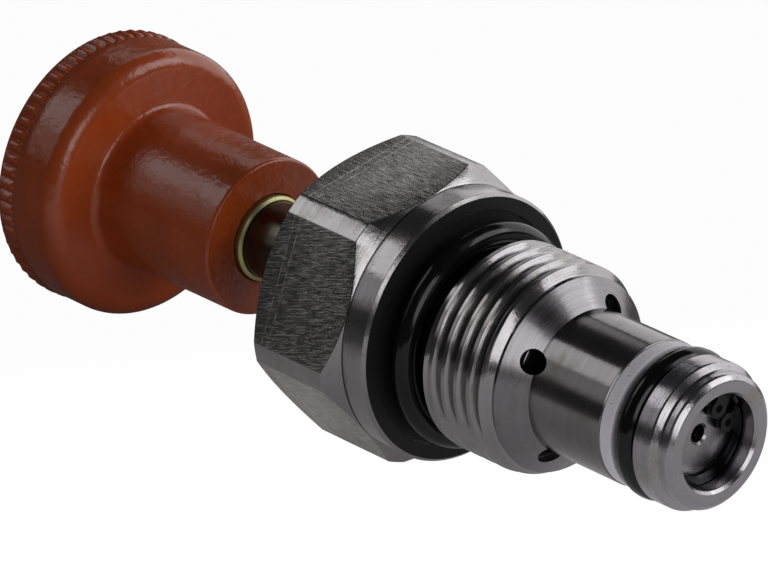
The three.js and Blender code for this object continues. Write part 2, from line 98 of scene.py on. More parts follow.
HEX_REAR, CONE_TIP = span("hex_body")
SLEEVE_REAR, NOSE = span("cage_sleeve")
LAND_R = outer_radius("cage_sleeve")
SLEEVE_R = LAND_R - 0.07
ACROSS_FLATS = 28.58
BAR_R = 15.88
BAR_FRONT = -4.66
HEX_FACE_R = 14.2  # inside the chamfer on the hexagon's rear face
HEX_CHAMFER_FRONT = -14.7
FIRST_FLAT = math.radians(39.85)
FLAT_COUNT = 6
FLAT_STEP = 2 * math.pi / FLAT_COUNT
STREAK_LEANS = (math.radians(18), math.radians(3))  # on every other flat
STREAK_OFFSET = 40  # keeps the streaks of one flat from carrying on over the next
CUTTER_LINES = (-13.6, -12.7)
CUTTER_LINE_HALF = 0.09

COLLAR_R = 14.25
COLLAR_REAR = -3.16
COLLAR_MARK = 0.12  # depth of the tool mark where the collar starts
COLLAR_CHAMFER = 0.33
RECESS_R = 12.5
RECESS_FLOOR = -0.3
NECK_R = 9.3
NECK_FRONT = 3.9
THREAD_START = 4.45
THREAD_END = 13.35
THREAD_PITCH = 1.814
THREAD_MAJOR_R = 11.11
THREAD_ROOT_R = 10.1
THREAD_CREST = 0.5
THREAD_RISE = 1.6  # radius gained for each mm at the start
THREAD_FALL = 1.25  # radius lost for each mm at the end
UNDERCUT_FRONT = 14.2
CONE_BASE = 14.55
CONE_BASE_R = 10.3
BODY_BORE_R = 6.8
GLAND_BORE_FRONT = -8.0
GLAND_BORE_R = 7.9
GLAND_GROOVE_R = 8.5
RING_PLAY = 0.1  # between a retaining ring and each side of its groove

PORT_R = 1.31
PORT_MOUTH_X = 16.5
PORT_MOUTH_R = 8.0
PORT_SLANT = math.radians(45)
PORT_DEPTH = 2.4
PORT_OUTSIDE = 5
PORT_COUNT = 4
FIRST_PORT = math.radians(58)
GALLERY_REAR = 13.2
GALLERY_FRONT = 16.4
GALLERY_R = 5.4
CROSS_HOLE_X = 14.8
CROSS_HOLE_R = 1.25

KNOB_REAR, HUB_FACE = span("push_knob")
RIM_R = outer_radius("push_knob")
KNOB_BACK_R = 11.8
KNOB_EDGE = 2.0
HUB_R = 8.52
KNOB_FACE = HUB_FACE - 17.6
HUB_FILLET = 0.9
KNURL_TEETH = 64
POINTS_PER_TOOTH = 9
KNURL_REAR = -56.3
KNURL_FRONT = -54.0
KNURL_STEPS = 14
KNURL_DEPTH = 0.45
KNURL_PROUD = 0.2
STEM_R = 4.2
STEM_TAIL_R = 3.0
STEM_GROOVE_R = 3.6
STEM_SHOULDER = -1.0
STEM_TIP_R = 2.0
PLUNGER_GROOVE_R = 2.8

SHANK_R = 6.5  # the sleeve inside the body
GROOVE_REAR = 26.65
GROOVE_FRONT = 31.3
GROOVE_R = 5.1
LAND_FRONT = 33.6
LIP_REAR = 34.5
LIP_R = 7.05
NOSE_EDGE_R = 6.48
MOUTH_R = 4.99
MOUTH_FLOOR = 31.6
MOUTH_GROOVE_R = 5.5
SLEEVE_BORE_R = 4.0
DISC_HOLE_R = 0.92
RING_GAP = math.radians(34)
RING_WIDTH = 0.62  # beside the gap
RING_SWELL = 0.35  # wider than that opposite the gap
LUG_SPREAD = math.radians(22)
LUG_R = 1.02
LUG_ARM_WIDTH = 1.7
LUG_CENTRE_R = 3.05
LUG_HOLE_R = 0.42


# ---- Mesh helpers --------------------------------


def rounded(outline, radius=0.1, steps=3, closed=True):
    """Rounds each corner of an outline with an arc, and pins the straight stretches beside it.

    A point may carry its own radius as a third number; 0 leaves the corner sharp.
    """
    points = []
    count = len(outline)
    for i, point in enumerate(outline):
        here = Vector(point[:2])
        corner = point[2] if len(point) > 2 else radius
        if not closed and i in (0, count - 1):
            points.append(here)
            continue
        before = Vector(outline[i - 1][:2]) - here
        after = Vector(outline[(i + 1) % count][:2]) - here
        opening = before.angle(after, 0.0)
        reach = min(corner / math.tan(opening / 2) if opening > 0.01 else 0.0,
                    before.length * 0.45, after.length * 0.45)
        if corner == 0 or reach < 1e-4 or opening > math.radians(176):
            points.append(here)
            continue
        start = here + before.normalized() * reach
        end = here + after.normalized() * reach
        pin = reach * 0.25
        points.append(start + before.normalized() * pin)
        for step in range(steps + 1):
            t = step / steps
            points.append(start.lerp(here, t).lerp(here.lerp(end, t), t))
        points.append(end + after.normalized() * pin)
    return points


def vertex(bm, x, radius, angle):
    """A vertex at a place along the axis, a radius in millimetres, and an angle round the axis."""
    return bm.verts.new((x * MM, radius * math.cos(angle) * MM, radius * math.sin(angle) * MM))


def lathe_rows(bm, outline, segments, wobble=None):
    """Adds rings of vertices for an outline; wobble(x, r, angle) may change a radius."""
    rows = []
    for x, r in outline:
        if r < 1e-6:
            rows.append([bm.verts.new((x * MM, 0, 0))])
            continue
        row = []
        for j in range(segments):
            angle = 2 * math.pi * j / segments
            radius = r if wobble is None else wobble(x, r, angle)
            row.append(vertex(bm, x, radius, angle))
        rows.append(row)
    return rows


def bridge(bm, first, second):
    """Faces between two rings, one of which may be a single point on the axis."""
    count = max(len(first), len(second))
    for j in range(count):
        k = (j + 1) % count
        if len(first) == 1:
            bm.faces.new((first[0], second[k], second[j]))
        elif len(second) == 1:
            bm.faces.new((first[j], first[k], second[0]))
        else:
            bm.faces.new((first[j], first[k], second[k], second[j]))


def bridge_all(bm, rows):
    """Faces between each ring and the next."""
    for first, second in zip(rows, rows[1:]):
        bridge(bm, first, second)


def finish_mesh(name, bm, material, body, node, sharp=35):
    """Turns a bmesh into a piece that rides on a body and stands for a CAD node."""
    bmesh.ops.recalc_face_normals(bm, faces=bm.faces)
    mesh = bpy.data.meshes.new(name)
    bm.to_mesh(mesh)
    bm.free()
    piece = bpy.data.objects.new(name, mesh)
    bpy.context.scene.collection.objects.link(piece)
    mesh.materials.append(material)
    mesh.shade_smooth()
    mesh.set_sharp_from_angle(angle=math.radians(sharp))
    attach(piece, body)
    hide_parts(node)
    return piece


def turned(outline, segments=ROUND, corner=0.1, on_axis=False):
    """A bmesh turned from an outline, with its corners rounded."""
    bm = bmesh.new()
    rows = lathe_rows(bm, rounded(outline, corner, closed=not on_axis), segments)
    bridge_all(bm, rows)
    if not on_axis:
        bridge(bm, rows[-1], rows[0])
    return bm


def arc(centre, radius, start, end, steps):
    """Points of an arc, [x, radius], from start to end in degrees; its corners stay as they are."""
    points = []
    for i in range(steps + 1):
        angle = math.radians(start + (end - start) * i / steps)
        x = centre[0] + radius * math.cos(angle)
        points.append((x, centre[1] + radius * math.sin(angle), 0))
    return points


def ring_groove(node, surface_r, floor_r, corner=0.05):
    """Outline of the groove for a ring, from its front edge to its rear edge."""
    rear, front = span(node)
    return [
        (front + RING_PLAY, surface_r, 0.05),
        (front + RING_PLAY, floor_r, corner),
        (rear - RING_PLAY, floor_r, corner),
        (rear - RING_PLAY, surface_r, 0.05),
    ]


def combine(piece, tools, operation):
    """Joins closed meshes to a piece, or cuts them out of it, and removes them."""
    for other in tools:
        modifier = piece.modifiers.new(operation, "BOOLEAN")
        modifier.operation = operation
        modifier.solver = "EXACT"
        modifier.material_mode = "TRANSFER"
        modifier.object = other
    apply_modifiers(piece)
    for other in tools:
        bpy.data.objects.remove(other)


def apply_modifiers(piece):
    """Makes a piece's modifiers permanent."""
    bpy.context.view_layer.update()
    graph = bpy.context.evaluated_depsgraph_get()
    result = bpy.data.meshes.new_from_object(piece.evaluated_get(graph))
    piece.modifiers.clear()
    old = piece.data
    piece.data = result
    bpy.data.meshes.remove(old)


def tool(bm, transform, material):
    """A closed mesh used to cut or join, moved into place; its faces keep their material."""
    bm.transform(transform)
    mesh = bpy.data.meshes.new("tool")
    bm.to_mesh(mesh)
    bm.free()
    mesh.materials.append(material)
    made = bpy.data.objects.new("tool", mesh)
    bpy.context.scene.collection.objects.link(made)
    return made


def cylinder(radius, start, end, segments=48):
    """A bmesh cylinder along +Z between two heights, in millimetres."""
    bm = bmesh.new()
    bmesh.ops.create_cone(bm, cap_ends=True, segments=segments, radius1=radius * MM,
                          radius2=radius * MM, depth=(end - start) * MM)
    bm.transform(Matrix.Translation((0, 0, (start + end) / 2 * MM)))
    return bm


def drill_ring(x, radius, drill_r, slant, inner, outer):
    """Drills round the axis through [x, radius], each leaning forward by the slant."""
    drills = []
    for k in range(PORT_COUNT):
        angle = FIRST_PORT + k * 2 * math.pi / PORT_COUNT
        turn = Matrix.Rotation(angle - math.pi / 2, 4, "X")
        shift = Matrix.Translation((x * MM, 0, radius * MM))
        lean = Matrix.Rotation(slant, 4, "Y")
        # each drill lays the black painted-shade material on the walls it cuts
        drills.append(tool(cylinder(drill_r, inner, outer), turn @ shift @ lean, PAINTED_SHADE_BORE))
    return drills


def port_drills():
    """Slanted drills for the side ports, where the cone meets the sleeve."""
    return drill_ring(PORT_MOUTH_X, PORT_MOUTH_R, PORT_R, PORT_SLANT, -PORT_DEPTH, PORT_OUTSIDE)


def along_axis(radius, start, end, centre_r, angle, material):
    """A cylinder along X, beside the axis."""
    turn = Matrix.Rotation(angle, 4, "X")
    shift = Matrix.Translation((0, centre_r * MM, 0))
    upright = Matrix.Rotation(math.pi / 2, 4, "Y")
    return tool(cylinder(radius, start, end), turn @ shift @ upright, material)


def paint(piece, material, start, end):
    """Gives the faces between two x a material of their own."""
    if material.name not in piece.data.materials:
        piece.data.materials.append(material)
    index = piece.data.materials.find(material.name)
    for face in piece.data.polygons:
        if start <= face.center.x / MM <= end:
            face.material_index = index


def resharpen(piece, sharp=35):
    """Smooth shading with sharp edges again, after a boolean."""
    piece.data.shade_smooth()
    piece.data.set_sharp_from_angle(angle=math.radians(sharp))


def helical_wire(rear, front, mean_r, wire_r, turns, closed_turns=0.75):
    """A bmesh of a coil spring between two x, its end turns closed down as on a real spring."""
    steps_per_turn = 40
    sides = 12
    steps = int(turns * steps_per_turn)
    open_turns = turns - 2 * closed_turns
    pitch_free = (front - rear - 2 * wire_r - 2 * closed_turns * 2 * wire_r) / open_turns
    bm = bmesh.new()
    rows = []
    for i in range(steps + 1):
        turn = i / steps_per_turn
        angle = 2 * math.pi * turn
        low = min(turn, closed_turns) * 2 * wire_r
        high = max(turn - (turns - closed_turns), 0) * 2 * wire_r
        middle = min(max(turn - closed_turns, 0), open_turns) * pitch_free
        centre_x = rear + wire_r + low + middle + high
        row = []
        for j in range(sides):
            around = 2 * math.pi * j / sides
            x = centre_x + wire_r * math.sin(around)
            row.append(vertex(bm, x, mean_r + wire_r * math.cos(around), angle))
        rows.append(row)
    bridge_all(bm, rows)
    bm.faces.new(rows[0])
    bm.faces.new(rows[-1])
    return bm


# ---- Materials -----------------------------------


def add_node(tree, kind, inputs=(), **settings):
    """A node with its settings, and its inputs given by name or number as values or sockets."""
    made = tree.nodes.new(kind)
    for key, value in settings.items():
        setattr(made, key, value)
    for key, value in dict(inputs).items():
        if isinstance(value, bpy.types.NodeSocket):
            tree.links.new(value, made.inputs[key])
        else:
            made.inputs[key].default_value = value
    return made


class Shader:
    """A procedural material built round one Principled shader."""

    def __init__(self, name, colour, roughness, metallic=0.0, specular=0.5):
        self.material = bpy.data.materials.new(name)
        self.material.use_nodes = True
        self.tree = self.material.node_tree
        self.principled = self.tree.nodes["Principled BSDF"]
        self.set("Base Color", (*colour, 1))
        self.set("Roughness", roughness)
        self.set("Metallic", metallic)
        self.set("Specular IOR Level", specular)
        self.bump = None

    def set(self, socket, value):
        """A plain value on the shader's own socket."""
        self.principled.inputs[socket].default_value = value

    def node(self, kind, inputs=(), **settings):
        """A node of this material."""
        return add_node(self.tree, kind, inputs, **settings)

    def link(self, socket, target):
        """Feeds a socket into one of the shader's own."""
        self.tree.links.new(socket, self.principled.inputs[target])

    def math(self, operation, first, second=0.0):
        """The result of a sum on one or two values."""
        return self.node("ShaderNodeMath", {0: first, 1: second}, operation=operation).outputs[0]

    def position(self):
        """Object coordinates, in metres."""
        return self.node("ShaderNodeTexCoord").outputs["Object"]

    def turned_position(self, fine, around):
        """Coordinates that change quickly along the outline and slowly round it, for tool marks."""
        parts = self.node("ShaderNodeSeparateXYZ", {0: self.position()})
        x, y, z = parts.outputs
        squares = self.math("ADD", self.math("MULTIPLY", y, y), self.math("MULTIPLY", z, z))
        r = self.math("SQRT", squares)
        along = self.math("ADD", self.math("MULTIPLY", x, fine), self.math("MULTIPLY", y, around))
        across = self.math("ADD", self.math("MULTIPLY", r, fine), self.math("MULTIPLY", z, around))
        return self.node("ShaderNodeCombineXYZ", {0: along, 1: across}).outputs[0]

    def noise(self, vector, scale=1.0, detail=2.0, roughness=0.5):
        """Noise of 0 to 1, mostly near the middle."""
        inputs = {"Vector": vector, "Scale": scale, "Detail": detail, "Roughness": roughness}
        return self.node("ShaderNodeTexNoise", inputs).outputs["Fac"]

    def remap(self, value, low, high, new_low=0.0, new_high=1.0):
        """A value's stretch from low to high, spread over a new range and held at its ends."""
        inputs = {"Value": value, "From Min": low, "From Max": high}
        inputs.update({"To Min": new_low, "To Max": new_high})
        return self.node("ShaderNodeMapRange", inputs).outputs["Result"]

    def mix(self, factor, first, second):
        """A colour between two colours, each given as a socket or as red, green and blue."""
        inputs = {"Factor": factor}
        for number, colour in ((6, first), (7, second)):
            inputs[number] = (*colour, 1) if isinstance(colour, tuple) else colour
        return self.node("ShaderNodeMix", inputs, data_type="RGBA").outputs[2]

    def bumps(self, height, distance):
        """Relief from a height of 0 to 1, in metres; a second call adds to the first."""
        inputs = {"Height": height, "Distance": distance, "Strength": 1.0}
        if self.bump is not None:
            inputs["Normal"] = self.bump
        self.bump = self.node("ShaderNodeBump", inputs).outputs["Normal"]
        self.link(self.bump, "Normal")

    def brush(self, amount):
        """Highlights drawn out across tool marks that run round the axis."""
        self.set("Anisotropic", amount)
        self.set("Anisotropic Rotation", 0.25)
        tangent = self.node("ShaderNodeTangent", direction_type="RADIAL", axis="X")
        self.link(tangent.outputs[0], "Tangent")


def turned_steel(name, colour, roughness, relief, brushed, wear=0.0):
    """Lathe-turned steel: fine rings round the axis, faint bands, stains and, if worn, pits."""
    shader = Shader(name, colour, roughness[1], metallic=1.0)
    fine = shader.noise(shader.turned_position(fine=9000.0, around=60.0), detail=1.0)
    bands = shader.noise(shader.turned_position(fine=1500.0, around=90.0), detail=2.0)
    stains = shader.noise(shader.position(), scale=330.0, detail=4.0, roughness=0.6)
    dark = tuple(c * 0.9 for c in colour)
    warm = (colour[0] * 0.82, colour[1] * 0.78, colour[2] * 0.7)
    tone = shader.mix(shader.remap(bands, 0.35, 0.65), dark, colour)
    stained = shader.mix(shader.remap(stains, 0.52, 0.7, 0.0, 0.6), tone, warm)
    pits = shader.noise(shader.position(), scale=2300.0, detail=3.0, roughness=0.6)
    pitted = tuple(c * 0.3 for c in colour)
    shader.link(shader.mix(shader.remap(pits, 0.64, 0.7, 0.0, wear), stained, pitted), "Base Color")
    rough = shader.remap(fine, 0.3, 0.7, *roughness)
    dull = shader.remap(stains, 0.5, 0.7, 0.0, 0.09)
    shader.link(shader.math("ADD", rough, dull), "Roughness")
    shader.bumps(fine, relief)
    shader.bumps(bands, relief * 0.8)
    shader.bumps(stains, relief * 8)
    shader.brush(brushed)
    return shader.material


def milled_steel():
    """The hexagon's flats: fine slanted torn streaks with painted glints and shade; two faint
    cutter lines near the rear.
    """
    shader = Shader("milled_steel", (0.30, 0.29, 0.29), 0.28, metallic=1.0)
    flat = shader.node("ShaderNodeUVMap", uv_map="flat").outputs[0]
    inputs = {0: flat, 1: (0.6, 6.4, 1.0)}
    stretch = shader.node("ShaderNodeVectorMath", inputs, operation="MULTIPLY")
    stretched = stretch.outputs[0]
    streaks = shader.noise(stretched, scale=1.0, detail=3.0, roughness=0.65)
    fine = shader.noise(stretched, scale=2.4, detail=2.0, roughness=0.6)
    patch = shader.noise(flat, scale=0.3, detail=3.0)
    x = shader.node("ShaderNodeSeparateXYZ", {0: shader.position()}).outputs[0]
    broken = shader.remap(shader.noise(flat, scale=0.9, detail=2.0), 0.36, 0.6)
    lines = []
    for place in CUTTER_LINES:
        inputs = {0: x, 1: place * MM, 2: CUTTER_LINE_HALF * MM}
        near = shader.node("ShaderNodeMath", inputs, operation="COMPARE").outputs[0]
        lines.append(shader.math("MULTIPLY", near, broken))
    # painted glints: the light streaks' colour stands in for torn streaks catching the light
    light = shader.remap(streaks, 0.53, 0.61)
    # painted shade: the darkest streaks are dark in colour, not in relief
    painted_shade_streaks = shader.remap(streaks, 0.37, 0.45, 1.0, 0.0)
    tone = shader.mix(patch, (0.27, 0.26, 0.265), (0.43, 0.42, 0.405))
    tone = shader.mix(light, tone, (0.72, 0.70, 0.67))
    tone = shader.mix(painted_shade_streaks, tone, (0.08, 0.078, 0.08))
    shader.link(shader.mix(shader.math("MAXIMUM", *lines), tone, (0.9, 0.88, 0.84)), "Base Color")
    shader.link(shader.remap(light, 0.0, 1.0, 0.14, 0.28), "Roughness")
    shader.bumps(streaks, 3.5e-5)
    shader.bumps(fine, 1.2e-5)
    return shader.material


def spring_steel():
    """Dark, oiled steel of the springs and the stamped rings."""
    shader = Shader("spring_steel", (0.032, 0.032, 0.034), 0.25, metallic=1.0)
    grain = shader.noise(shader.position(), scale=2600.0, detail=3.0)
    shader.link(shader.remap(grain, 0.3, 0.7, 0.14, 0.26), "Roughness")
    shader.bumps(grain, 6e-6)
    return shader.material


def painted_shade_bore():
    """Painted shade: black skin for the drilled and lug holes, the recess floor and the collar's
    front face.
    """
    shader = Shader("painted_shade_bore", (0.012, 0.012, 0.013), 0.5, specular=0.25)
    grain = shader.noise(shader.position(), scale=2500.0, detail=2.0)
    shader.link(shader.remap(grain, 0.3, 0.7, 0.4, 0.6), "Roughness")
    shader.bumps(grain, 5e-6)
    return shader.material


def zinc_plate(name, gold, green, roughness):
    """Bright zinc with a yellow passivation that drifts towards green."""
    shader = Shader(name, gold, 0.2, metallic=1.0)
    drift = shader.noise(shader.position(), scale=180.0, detail=2.0)
    fine = shader.noise(shader.turned_position(fine=8000.0, around=40.0), detail=1.0)
    shader.link(shader.mix(shader.remap(drift, 0.35, 0.65), gold, green), "Base Color")
    shader.link(shader.remap(fine, 0.3, 0.7, roughness, roughness + 0.1), "Roughness")
    shader.bumps(fine, 3e-6)
    return shader.material


def bronze():
    """Turned bronze of the gland bushing, darker in places."""
    shader = Shader("bronze", (0.42, 0.25, 0.11), 0.4, metallic=1.0)
    fine = shader.noise(shader.turned_position(fine=6000.0, around=50.0), detail=2.0)
    stains = shader.noise(shader.position(), scale=300.0, detail=3.0)
    shader.link(shader.mix(stains, (0.30, 0.17, 0.07), (0.5, 0.31, 0.14)), "Base Color")
    shader.bumps(fine, 8e-6)
    return shader.material


def black_rubber():
    """Moulded seal rubber with an oily sheen and low ridges round it."""
    shader = Shader("black_rubber", (0.005, 0.005, 0.0055), 0.2, specular=0.35)
    grain = shader.noise(shader.position(), scale=5200.0, detail=2.0)
    film = shader.noise(shader.position(), scale=420.0, detail=2.0)
    ridges = shader.noise(shader.turned_position(fine=1900.0, around=30.0), detail=1.0)
    shader.link(shader.remap(film, 0.35, 0.65, 0.08, 0.15), "Roughness")
    shader.bumps(ridges, 9e-5)
    shader.bumps(grain, 4e-6)
    return shader.material


def white_polymer():
    """Milky bluish plastic of the back-up rings, with a few specks in it."""
    shader = Shader("white_polymer", (0.56, 0.57, 0.64), 0.42, specular=0.4)
    specks = shader.noise(shader.position(), scale=3800.0, detail=1.0)
    cloud = shader.noise(shader.position(), scale=500.0, detail=2.0)
    milk = shader.mix(cloud, (0.95, 0.92, 1.0), (0.99, 0.96, 1.0))
    speckled = shader.mix(shader.remap(specks, 0.7, 0.76, 0.0, 0.7), milk, (0.25, 0.25, 0.28))
    shader.link(speckled, "Base Color")
    shader.set("Subsurface Weight", 0.05)
    shader.set("Subsurface Radius", (0.0006, 0.0006, 0.0007))
    shader.bumps(specks, 3e-6)
    return shader.material


def red_plastic():
    """Moulded phenolic knob: brick red, semi-gloss, with an uneven skin and light scuffs."""
    shader = Shader("red_plastic", (0.43, 0.069, 0.013), 0.24, specular=0.72)
    peel = shader.noise(shader.position(), scale=780.0, detail=3.0, roughness=0.55)
    grain = shader.noise(shader.position(), scale=3600.0, detail=2.0)
    cloud = shader.noise(shader.position(), scale=140.0, detail=3.0)
    body = shader.mix(shader.remap(cloud, 0.35, 0.65), (0.41, 0.064, 0.011), (0.50, 0.079, 0.014))
    scuffed = shader.mix(shader.remap(grain, 0.64, 0.76, 0.0, 0.3), body, (0.48, 0.13, 0.05))
    shader.link(scuffed, "Base Color")
    shader.link(shader.remap(cloud, 0.3, 0.7, 0.19, 0.28), "Roughness")
    shader.bumps(peel, 1e-4)
    shader.bumps(grain, 6e-6)
    return shader.material


MACHINED = turned_steel("machined_steel", (0.36, 0.345, 0.355), roughness=(0.12, 0.22), relief=5e-6,
                        brushed=0.35, wear=0.5)
GROUND = turned_steel("ground_steel", (0.42, 0.402, 0.42), roughness=(0.09, 0.16), relief=1.5e-6,
                      brushed=0.3)
DULL = turned_steel("dull_steel", (0.235, 0.221, 0.228), roughness=(0.12, 0.2), relief=2e-6,
                    brushed=0.3)
BRUSHED = turned_steel("brushed_steel", (0.25, 0.237, 0.247), roughness=(0.19, 0.3), relief=3e-6,
                       brushed=0.35, wear=0.3)
# black painted shade for the holes, the recess floor and the collar's front face
PAINTED_SHADE_BORE = painted_shade_bore()
MILLED = milled_steel()
SPRING = spring_steel()
# painted shade: the stem's plating is a darkened copy of the bush's, for the shade and dark
# reflections between knob and hexagon
ZINC_STEM_IN_SHADE = zinc_plate("zinc_stem_in_shade", (0.12, 0.1, 0.08), (0.09, 0.09, 0.07), roughness=0.18)
ZINC_BUSH = zinc_plate("zinc_bush", gold=(0.56, 0.48, 0.21), green=(0.5, 0.5, 0.27), roughness=0.34)
BRONZE = bronze()
RUBBER = black_rubber()
POLYMER = white_polymer()
PLASTIC = red_plastic()
WORN = turned_steel("worn_steel", (0.42, 0.402, 0.42), roughness=(0.14, 0.27), relief=6e-6,
                    brushed=0.35, wear=0.6)
DISC_STEEL = turned_steel("disc_steel", (0.36, 0.345, 0.36), roughness=(0.2, 0.34), relief=5e-6,
                          brushed=0.2)


# ---- Hexagonal body ------------------------------


def thread_profile():
    """One pitch of the 60 degree thread from root to root: [distance along, radius]."""
    flank = (THREAD_MAJOR_R - THREAD_ROOT_R) * math.tan(math.radians(30))
    root = (THREAD_PITCH - THREAD_CREST - 2 * flank) / 2
    shape = rounded([
        (0, THREAD_ROOT_R),
        (root, THREAD_ROOT_R, 0.08),
        (root + flank, THREAD_MAJOR_R, 0.1),
        (root + flank + THREAD_CREST, THREAD_MAJOR_R, 0.1),
        (root + 2 * flank + THREAD_CREST, THREAD_ROOT_R, 0.08),
        (THREAD_PITCH, THREAD_ROOT_R),
    ], closed=False)
    return [(point.x, point.y) for point in shape[:-1]]


def thread_envelope(x):
    """Largest radius of the thread at x: it runs out at both ends."""
    start = THREAD_ROOT_R + (x - THREAD_START) * THREAD_RISE
    end = THREAD_MAJOR_R - max(x - THREAD_END, 0) * THREAD_FALL
    return max(min(THREAD_MAJOR_R, start, end), THREAD_ROOT_R)


def helical_thread(bm):
    """Adds the port thread as one helical surface, and returns the x where it has run out."""
    profile = thread_profile()
    last = THREAD_END + (THREAD_MAJOR_R - THREAD_ROOT_R) / THREAD_FALL
    turns = int((last - THREAD_START) / THREAD_PITCH) + 1
    grid = []
    for turn in range(-1, turns + 1):
        for along, radius in profile:
            row = []
            for j in range(ROUND + 1):
                angle = 2 * math.pi * j / ROUND
                x = THREAD_START + (turn + j / ROUND) * THREAD_PITCH + along
                x = min(max(x, THREAD_START), last)
                row.append(vertex(bm, x, min(radius, thread_envelope(x)), angle))
            grid.append(row)
    for first, second in zip(grid, grid[1:]):
        for j in range(ROUND):
            bm.faces.new((first[j], first[j + 1], second[j + 1], second[j]))
    return last


def mill_flats(bm):
    """Cuts the six flats, softens their edges, and gives them their material and coordinates."""
    flats = []
    for k in range(FLAT_COUNT):
        angle = FIRST_FLAT + k * FLAT_STEP
        normal = Vector((0, math.cos(angle), math.sin(angle)))
        everything = bm.verts[:] + bm.edges[:] + bm.faces[:]
        cut = bmesh.ops.bisect_plane(bm, geom=everything, plane_co=normal * ACROSS_FLATS / 2 * MM,
                                     plane_no=normal, clear_outer=True)["geom_cut"]
        rim = [e for e in cut if isinstance(e, bmesh.types.BMEdge)]
        flats += bmesh.ops.holes_fill(bm, edges=rim)["faces"]
    for face in flats:
        face.material_index = 1
    rim = [e for face in flats for e in face.edges]
    bmesh.ops.bevel(bm, geom=rim, offset=0.06 * MM, segments=2, profile=0.5, affect="EDGES",
                    material=0)
    layer = bm.loops.layers.uv.new("flat")
    for face in bm.faces:
        if face.material_index != 1:
            continue
        angle = math.atan2(face.normal.z, face.normal.y)
        sideways = Vector((0, -math.sin(angle), math.cos(angle)))
        number = round((angle - FIRST_FLAT) / FLAT_STEP)
        turn = Matrix.Rotation(STREAK_LEANS[number % 2], 2)
        shift = Vector((STREAK_OFFSET * number, 0))
        for loop in face.loops:
            point = loop.vert.co / MM
            loop[layer].uv = turn @ Vector((point.x, point.dot(sideways))) + shift


def hex_body():
    """Hexagon, collar, port thread and cone in one piece, bored from both ends."""
    rear_outline = rounded([
        (HEX_REAR, HEX_FACE_R, 0.12),
        (HEX_CHAMFER_FRONT, BAR_R, 0.15),
        (BAR_FRONT, BAR_R, 0.12),
        (COLLAR_REAR - COLLAR_MARK, COLLAR_R, 0.05),
        (COLLAR_REAR - 0.1, COLLAR_R - COLLAR_MARK, 0),
        (COLLAR_REAR + 0.1, COLLAR_R - COLLAR_MARK, 0),
        (COLLAR_REAR + COLLAR_MARK, COLLAR_R, 0.05),
        (-COLLAR_CHAMFER, COLLAR_R, 0.06),
        (0, COLLAR_R - COLLAR_CHAMFER, 0.06),
        (0, RECESS_R, 0.08),
        (RECESS_FLOOR, RECESS_R - 0.15, 0.1),
        (RECESS_FLOOR, NECK_R, 0.35),
        (NECK_FRONT, NECK_R, 0.25),
        (THREAD_START, THREAD_ROOT_R),
    ], closed=False)
    front_outline = rounded([
        (UNDERCUT_FRONT, THREAD_ROOT_R),
        (CONE_BASE - 0.1, THREAD_ROOT_R + 0.05, 0.1),
        (CONE_BASE + 0.08, CONE_BASE_R, 0.06),
        (CONE_TIP, SLEEVE_R, 0.05),
        (CONE_TIP, BODY_BORE_R, 0.05),
        (GLAND_BORE_FRONT, BODY_BORE_R, 0.15),
        (GLAND_BORE_FRONT, GLAND_BORE_R, 0.1),
        *ring_groove("gland_retaining_ring", GLAND_BORE_R, GLAND_GROOVE_R),
        (HEX_REAR + 0.3, GLAND_BORE_R, 0.05),
        (HEX_REAR, GLAND_BORE_R + 0.3, 0.05),
        (HEX_REAR, HEX_FACE_R),
    ], closed=False)
    bm = bmesh.new()
    bridge_all(bm, lathe_rows(bm, rear_outline, ROUND))
    thread_front = helical_thread(bm)
    front_outline[0] = Vector((thread_front, THREAD_ROOT_R))
    bridge_all(bm, lathe_rows(bm, front_outline, ROUND))
    bmesh.ops.remove_doubles(bm, verts=bm.verts, dist=1e-3 * MM)
    bmesh.ops.recalc_face_normals(bm, faces=bm.faces)
    mill_flats(bm)
    piece = finish_mesh("hex_body_shell", bm, MACHINED, "valve_body", "hex_body", sharp=28)
    piece.data.materials.append(MILLED)
    paint(piece, BRUSHED, CONE_BASE, CONE_TIP)
    # painted shade: the recess floor and the collar's front face get the black bore material
    paint(piece, PAINTED_SHADE_BORE, RECESS_FLOOR - 0.01, RECESS_FLOOR + 0.01)
    paint(piece, PAINTED_SHADE_BORE, -0.005, 0.005)  # the collar's front face, black as painted shade
    combine(piece, port_drills(), "DIFFERENCE")
    resharpen(piece, 28)


